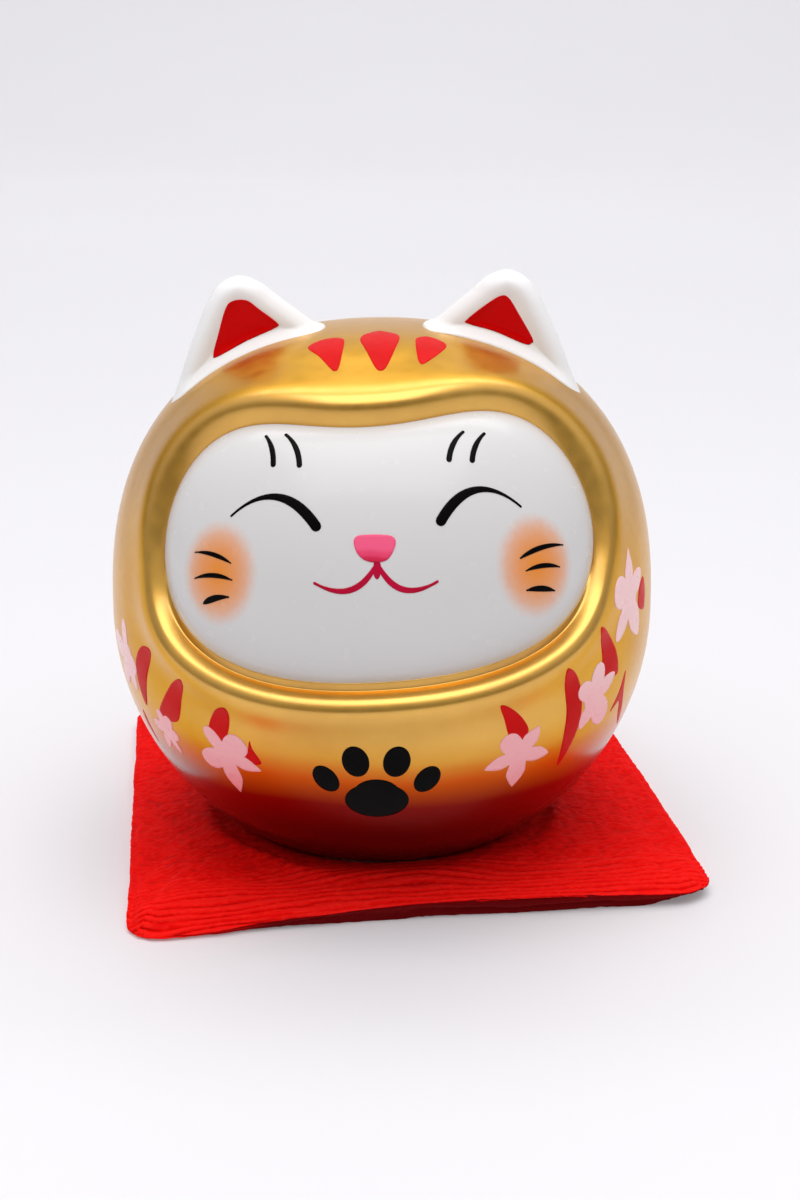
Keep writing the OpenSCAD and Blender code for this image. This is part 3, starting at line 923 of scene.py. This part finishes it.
def pressed(flat, normal, relief):
    """The top with its relief, flattened under the foot ring and hollowed by the doll's round bottom."""
    reach = np.hypot(flat[..., 0], flat[..., 1])
    press = 1 - smoothstep(FOOT_R - 0.5, FOOT_R + 1.2, reach)
    top = flat + normal * (relief * (1 - press))[..., None]
    cuddle = 0.85 * smoothstep(FOOT_R + 0.2, FOOT_R + 1.5, reach)
    cuddle *= 1 - smoothstep(FOOT_R + 3, FOOT_R + 12, reach)
    bowl = WAIST_Z - BOWL_H * np.sqrt(np.clip(1 - (reach / BODY_R) ** 2, 0, 1)) - 0.25
    limit = np.where(reach < BODY_R, np.maximum(bowl, BASE_Z - 0.05), np.inf)
    z = np.minimum(top[..., 2] + cuddle, limit)
    z = np.minimum(z, BASE_Z - 0.03) * press + z * (1 - press)
    top[..., 2] = np.maximum(z, 0.05)
    return top


def shade_creases(cushion, crease, rim, kept):
    """Gives every point how open its crease is, for painted shade and highlights, and less than 0 for painted
    shade in the fold at the front.
    """
    across = np.linspace(-1, 1, rim.shape[0])[:, None]
    near_front = np.linspace(0, 2 * HALF, rim.shape[1]) < 14
    shaded = np.clip(1.6 * front_lift(across), 0, 1) * near_front
    # Painted shade in the fold under the front edge: values below 0 on the bottom sheet near the front.
    fold_shade = np.where(rim, crease, crease * (1 - shaded) - shaded)
    layer = cushion.data.attributes.new("crease", "FLOAT", "POINT")
    layer.data.foreach_set("value", np.stack([crease, fold_shade]).reshape(-1)[kept].astype(np.float32))


def make_cushion(material):
    sheets = cushion_sheets()
    sheets = fill_cushion(sheets)
    top, low = (resampled(resampled(sheet, 0, 4), 1, 7) for sheet in sheets)
    relief, crease = crepe_relief(top)
    index, kept, rim = weld(*relief.shape)
    up, down = sheet_normals(top), -sheet_normals(low)
    shared = unit(up + down)
    low = low + np.where(rim[..., None], shared, down) * relief[..., None]
    low[..., 2] = np.maximum(low[..., 2], 0.02 + 0.02 * relief)
    top = pressed(top, np.where(rim[..., None], shared, up), relief)
    verts = np.stack([top, low]).reshape(-1, 3)[kept]
    cushion = new_piece("crepe_cushion", verts, cover_faces(index), material, "cushion", "red_crepe",
                        "cushion_cover_top", "cushion_cover_bottom", "cushion_padding")
    shade_creases(cushion, crease, rim, kept)


# ---- build

FOREHEAD = [
    [(-3.5, 42), (-3.2, 44.4), (-1.8, 46.2), (-0.2, 47.2), (1.6, 46.4), (3.1, 45.2), (3.6, 43), (2.6, 37.6),
     (1.3, 32.2), (0.4, 31.1), (-0.5, 32.2), (-2.2, 37.6)],
    [(-12.8, 40.2), (-11.2, 42.8), (-8.9, 43.8), (-7, 43.3), (-6.3, 41.4), (-6.3, 36), (-6.5, 32),
     (-7.1, 31.4), (-7.8, 32.2), (-10.2, 36.4)],
    [(6.4, 41), (6.7, 43.4), (8.6, 44.7), (10.7, 43.5), (12, 41), (10.4, 37.6), (8.1, 34.2), (7.1, 33.3),
     (6.6, 34.6), (6.4, 38)],
]

LEFT_STROKES = [
    (-30.5, -12.5, [(0.2, 4.5), (0.8, 3.4), (0.2, 1), (-0.8, -1.4), (-2.2, -3.8), (-4.6, -2.2),
     (-4.3, 0), (-2.2, 3.2)]),
    (-47.5, -11, [(5.4, 6.2), (5.9, 5.2), (4.2, 2.2), (1.8, -2.6), (-1.6, -3.6), (-3.6, -2.4), (-1.4, 0.6),
     (2.2, 4.4)]),
    (-60, -9, [(5.6, 7.4), (7.4, 7), (6.6, 5), (4.4, 1.4), (1.4, -4.6), (0.2, -1.4), (0.6, 3.2),
     (3, 6.4)]),
    (-25, -18, [(-1, 3), (-0.7, 1.4), (0.4, -1.2), (-1.4, -1.8), (-2.5, -0.6), (-1.7, 1)]),
    (-63, -21, [(0.4, 3.4), (1, 0.6), (1.4, -3), (0.2, -1), (-0.4, 1.6)]),
]
RIGHT_STROKES = [
    (28.5, -12, [(-4.1, 5.5), (-2.4, 5), (0.6, 2.4), (2.5, -0.6), (1, -2.4), (-1, -1.2), (-2.6, 2.4)]),
    (43.5, -12.5, [(-4.7, 9.4), (-3.3, 9.7), (-0.6, 7.2), (1.2, 3.2), (1.8, -1), (1.4, -5.2), (-0.3, -9.9),
     (-1.4, -4), (-2.3, 2.2)]),
    (52, 1, [(-3.9, 3.9), (-2.2, 3.3), (0.8, 0.8), (3.2, -2.4), (4.1, -6.3), (-0.4, -5.4), (-1.8, -1.2),
     (-3.3, 1.8)]),
    (62, -13, [(-0.8, 5), (0.1, 1.4), (2.2, -2.8), (4.6, -7.4), (1.2, -4), (-0.8, -0.8), (-3.4, -2),
     (-1.8, 1.4)]),
    (68, 8, [(1.8, 2), (2.6, -0.8), (1.7, -3.6), (-1.6, -2.2), (-0.6, 1)]),
]
LEFT_BLOSSOMS = [
    (-33.1, -19.1, 2.4, [(-35, 5.9, 1.45, 0.1), (48, 5.6, 2.3, 0), (109, 6.7, 1.5, 0.9),
     (180, 8.6, 1.8, 1), (-117, 6.3, 2.1, 0)]),
    (-52, -18.2, 1.1, [(-10, 3.9, 1.1, 0.2), (42, 3.8, 1.3, 0), (103, 3.7, 1.2, 0.2),
     (150, 5, 0.9, 0.7), (-160, 4.6, 1, 0.4), (-85, 3.8, 1.2, 0.2)]),
    (-64.5, -5.4, 2.7, [(-7, 6.6, 1.4, 0.2), (-76, 8, 2, 0.2), (112, 4.4, 1.8, 0.2),
     (157, 6.2, 1.6, 0.5), (-146, 7.2, 1.8, 0.4)]),
]
RIGHT_BLOSSOMS = [
    (30.4, -18, 2.5, [(-111, 6.4, 1.5, 0.8), (176, 7.4, 1.8, 0.9), (103, 6.4, 1.5, 0.7),
     (33, 5.7, 1.6, 0.8), (-41, 5.3, 1.9, 0)]),
    (49.2, -9.6, 2.7, [(3, 6.3, 1.8, 0.1), (60, 6.2, 1.6, 0.5), (142, 7.4, 2.3, 0.2), (-157, 6, 1.6, 0.6),
     (-56, 5.4, 1.8, 0.1)]),
    (60.7, 8.3, 3.4, [(5, 8.2, 1.8, 1), (61, 7.2, 1.8, 0.3), (148, 8.8, 2.3, 0.6), (-145, 7.9, 1.8, 0.4),
     (-64, 6.8, 2.7, 0)]),
]
# Corners of the painted insides of the ears, as [x, z above the waist] before the head's roll
INNER_LEFT = [(-24.9, 53.6), (-23.6, 54.8), (-21.3, 54.8), (-19.2, 53.2), (-16.4, 50.9), (-16.7, 50),
              (-21.6, 48), (-26.6, 45.5), (-27.4, 45.8), (-26.4, 49.2)]
INNER_RIGHT = [(19, 53.1), (21.6, 54.6), (23, 54.2), (24.6, 51.6), (26.9, 47.4), (26.7, 46.5), (25.4, 46.5),
               (20.6, 48.6), (16, 50), (15.9, 50.7)]


def paint_forehead(red):
    wedges = [([loop_spline(w, 6)], on_brow) for w in FOREHEAD]
    paint("forehead_wedges", wedges, red, "red_glaze", "forehead_marks")


def paint_brows(black):
    strokes = [((-17.6, 19.9), (-15.8, 14.4), 0.45), ((-14.3, 19.8), (-11.6, 13.9), 0.6),
               ((13.3, 20.0), (10.9, 14.8), -0.5), ((16.7, 20.1), (14.5, 15.0), -0.45)]
    parts = [([stroke(p, q, sag, 0.85, grow=(0.6, 0.6))], on_face) for p, q, sag in strokes]
    paint("eyebrow_strokes", parts, black, "black_glaze", "eyebrows", 0.06, 0.35)


def paint_eyes(black):
    for side, p, q, sag in (("left", (-22.8, 6.9), (-8.9, 4.3), 3.6),
                            ("right", (22.5, 8.5), (9.7, 5.2), -3.6)):
        lid = stroke(p, q, sag, 1.6, grow=(0.22, 0.92))
        paint("closed_eye_" + side, [([lid], on_face)], black, "black_glaze", "eye_" + side, 0.06, 0.4)


def paint_whiskers(black):
    left = [((-30.2, 1.9), (-23.2, -0.5), 0.5, 0.75, 1.2), ((-30.6, -2.4), (-23.2, -3.2), 0.6, 0.8, 1.1),
            ((-29.2, -6.7), (-24.1, -5.9), 0.35, 1.1, 0.7)]
    right = [((22.8, 0.4), (30.8, 3.4), 0.6, 0.85, 0.8), ((24.0, -1.5), (30.4, -0.3), 0.5, 0.8, 1.0),
             ((24.4, -4.6), (29.8, -4.3), 0.3, 1.0, 1.0)]
    for side, strokes in (("left", left), ("right", right)):
        parts = [([stroke(*s, blunt=0.3, power=0.6)], on_face) for s in strokes]
        paint("whisker_strokes_" + side, parts, black, "black_glaze", "whiskers_" + side, 0.06, 0.35)


def paint_nose(pink):
    outline = loop_spline([(-3.25, 1.9), (-2.7, 2.7), (-1.2, 2.9), (1, 2.9), (2.4, 2.7), (3, 1.9), (2.6, 0.4),
                           (1.7, -0.8), (0, -1.2), (-1.7, -0.8), (-2.8, 0.3)], 6)
    paint("nose_patch", [([outline], on_face)], pink, "pink_glaze", "nose", 0.08)


def paint_mouth(crimson):
    lines = [stroke((0.25, -1.2), end, sag, 0.95, 0.75, blunt=0.45, power=0.5)
             for end, sag in (((-9.3, -4.2), 2.7), ((9.4, -3.9), -2.7))]
    lines.append(oval(0.25, -2.2, 0.6, 1.5, steps=24))
    paint("mouth_line", [(lines, on_face)], crimson, "crimson_glaze", "mouth", 0.05, 0.4)


def paint_emblem(black):
    """Paw print: a pad and four toes."""
    paw = [oval(0, -3.0, 5.2, 4.2), oval(0, -1.4, 3.8, 3.4)]
    for side in (-1, 1):
        paw += [oval(side * 3.3, 5.6, 2.2, 3.1, -8 * side), oval(side * 8.2, 1.4, 2.0, 2.9, -26 * side)]
    paint("paw_emblem", [(paw, on_gold(0, -23.5))], black, "black_glaze", "belly_emblem")


def paint_robe(red, pale):
    for side, strokes, blossoms in (("left", LEFT_STROKES, LEFT_BLOSSOMS),
                                    ("right", RIGHT_STROKES, RIGHT_BLOSSOMS)):
        parts = [([loop_spline(outline, 8)], on_gold(lon, lat)) for lon, lat, outline in strokes]
        paint("red_strokes_" + side, parts, red, "red_glaze", "robe_strokes_" + side, 0.03)
        parts = [(blossom(petals, middle), on_gold(lon, lat)) for lon, lat, middle, petals in blossoms]
        paint("blossom_films_" + side, parts, pale, "blossom_pink", "blossoms_" + side, 0.07)


def cheek_spots():
    """Middle, turn and radii in metres of the two blushed cheeks."""
    spots = []
    for u, v, lon in ((-25.8, -1.9, -34), (25.9, -0.5, 33)):
        middle = on_skin(chart_dirs(np.array([[u, v]])), -0.1)[0] * MM
        spots.append((tuple(middle), (0, 0, math.radians(lon)), (0.0068, 0.0068, 0.0078)))
    return spots


def build_doll():
    make_body(gold_material())
    # The face and the ears are one white glaze; the face's copy is darker than the ears', as painted shade.
    make_face(white_material("white_glaze", (0.69, 0.673, 0.667), (0.72, 0.703, 0.70), cheek_spots()))
    white = white_material("ear_white", (0.90, 0.885, 0.88), (0.93, 0.92, 0.915))
    red = paint_material("red_glaze", (0.60, 0.0005, 0.0005), (0.72, 0.002, 0.002), 0.35)
    black = paint_material("black_glaze", (0.0010, 0.0006, 0.0006), (0.0025, 0.0015, 0.0015), coat=0.05)
    for name, side, inside in (("left", -1, INNER_LEFT), ("right", 1, INNER_RIGHT)):
        make_ear("ear_shape_" + name, side, white, "ear_" + name)
        make_inner_ear("ear_paint_" + name, side, inside, red, "inner_ear_" + name)
    make_foot(bisque_material())
    paint_forehead(red)
    paint_brows(black)
    paint_eyes(black)
    paint_whiskers(black)
    paint_nose(nose_material())
    paint_mouth(paint_material("crimson_glaze", (0.42, 0.004, 0.025), (0.54, 0.008, 0.05)))
    paint_emblem(black)
    paint_robe(red, blossom_material())


build_doll()
make_cushion(crepe_material())

# ---- stage, light and camera

def build_stage():
    """Pale floor that sweeps up behind the object."""
    m = material_nodes("pale_floor")
    m.shade(Base_Color=m.mix(m.noise(2.2, 4), (0.60, 0.592, 0.612), (0.63, 0.625, 0.645)), Roughness=0.5,
            Specular_IOR_Level=0.3, Emission_Color=(1, 0.98, 1), Emission_Strength=0.18)
    bend, far, near, high, wide = 0.9, 1.8, -1.8, 3.5, 4.0
    a = np.linspace(0, np.pi / 2, 24)
    curve = [(far + bend * math.sin(t), bend * (1 - math.cos(t))) for t in a]
    path = [(near, 0.0), *curve, (far + bend, high)]
    verts = [(side * wide, y, z) for y, z in path for side in (-1, 1)]
    faces = [(2 * i, 2 * i + 1, 2 * i + 3, 2 * i + 2) for i in range(len(path) - 1)]
    floor = plain_mesh("floor", verts, faces)
    floor.data.shade_smooth()
    floor.data.materials.append(m.owner)


def area_light(name, location, target, size, power):
    light = bpy.data.lights.new(name, "AREA")
    light.shape = "RECTANGLE"
    light.size, light.size_y = size
    light.energy = power
    lamp = in_scene(name, light)
    lamp.location = location
    lamp.rotation_euler = (Vector(target) - Vector(location)).to_track_quat("-Z", "Y").to_euler()


def build_light():
    """A soft room that is bright overhead and dim at eye level, a soft box above and a lit backdrop."""
    w = Nodes(bpy.data.worlds.new("studio"), "Background", "Generated")
    sky = w.ramp(w.axis("Z"), [(0.0, (0.03, 0.03, 0.03)), (0.10, (0.34, 0.335, 0.35)),
                               (0.85, (0.80, 0.80, 0.82))])
    front = w.remap(w.axis("Y"), -1.0, -0.25, 0.50, 1.0)
    front.node.interpolation_type = "SMOOTHSTEP"
    w.shade(Color=w.vector_math("SCALE", "Vector", sky, Scale=front))
    wall = w.add("ShaderNodeBackground", "Background", (0.80, 0.79, 0.82))
    seen = w.add("ShaderNodeLightPath", "Is Camera Ray")
    choice = w.add("ShaderNodeMixShader", "Shader", seen, w.shader.outputs["Background"], wall)
    w.put(w.tree.nodes["World Output"].inputs["Surface"], choice)
    bpy.context.scene.world = w.owner
    area_light("overhead", (0.0, -0.27, 0.78), (0, 0, 0.05), (0.90, 0.72), 4.3)
    area_light("backdrop", (0.0, 1.2, 2.2), (0, 2.2, 0.2), (3.0, 1.2), 29.0)


def build_camera():
    """Camera at the photo's angle: close, a little above the doll and almost straight in front."""
    camera = bpy.data.cameras.new("camera")
    camera.sensor_width = 36
    camera.lens = 56.7
    yaw, pitch = math.radians(0.74), math.radians(16.3085)
    aside, reach, height = 3.2, 327.35, 141.2
    viewer = in_scene("camera", camera)
    viewer.location = Matrix.Rotation(yaw, 4, "Z") @ Vector((aside, -reach, height)) * MM
    viewer.rotation_euler = (math.pi / 2 - pitch, 0, yaw)
    bpy.context.scene.camera = viewer


build_stage()
build_light()
build_camera()
bpy.context.scene.view_settings.view_transform = "Standard"
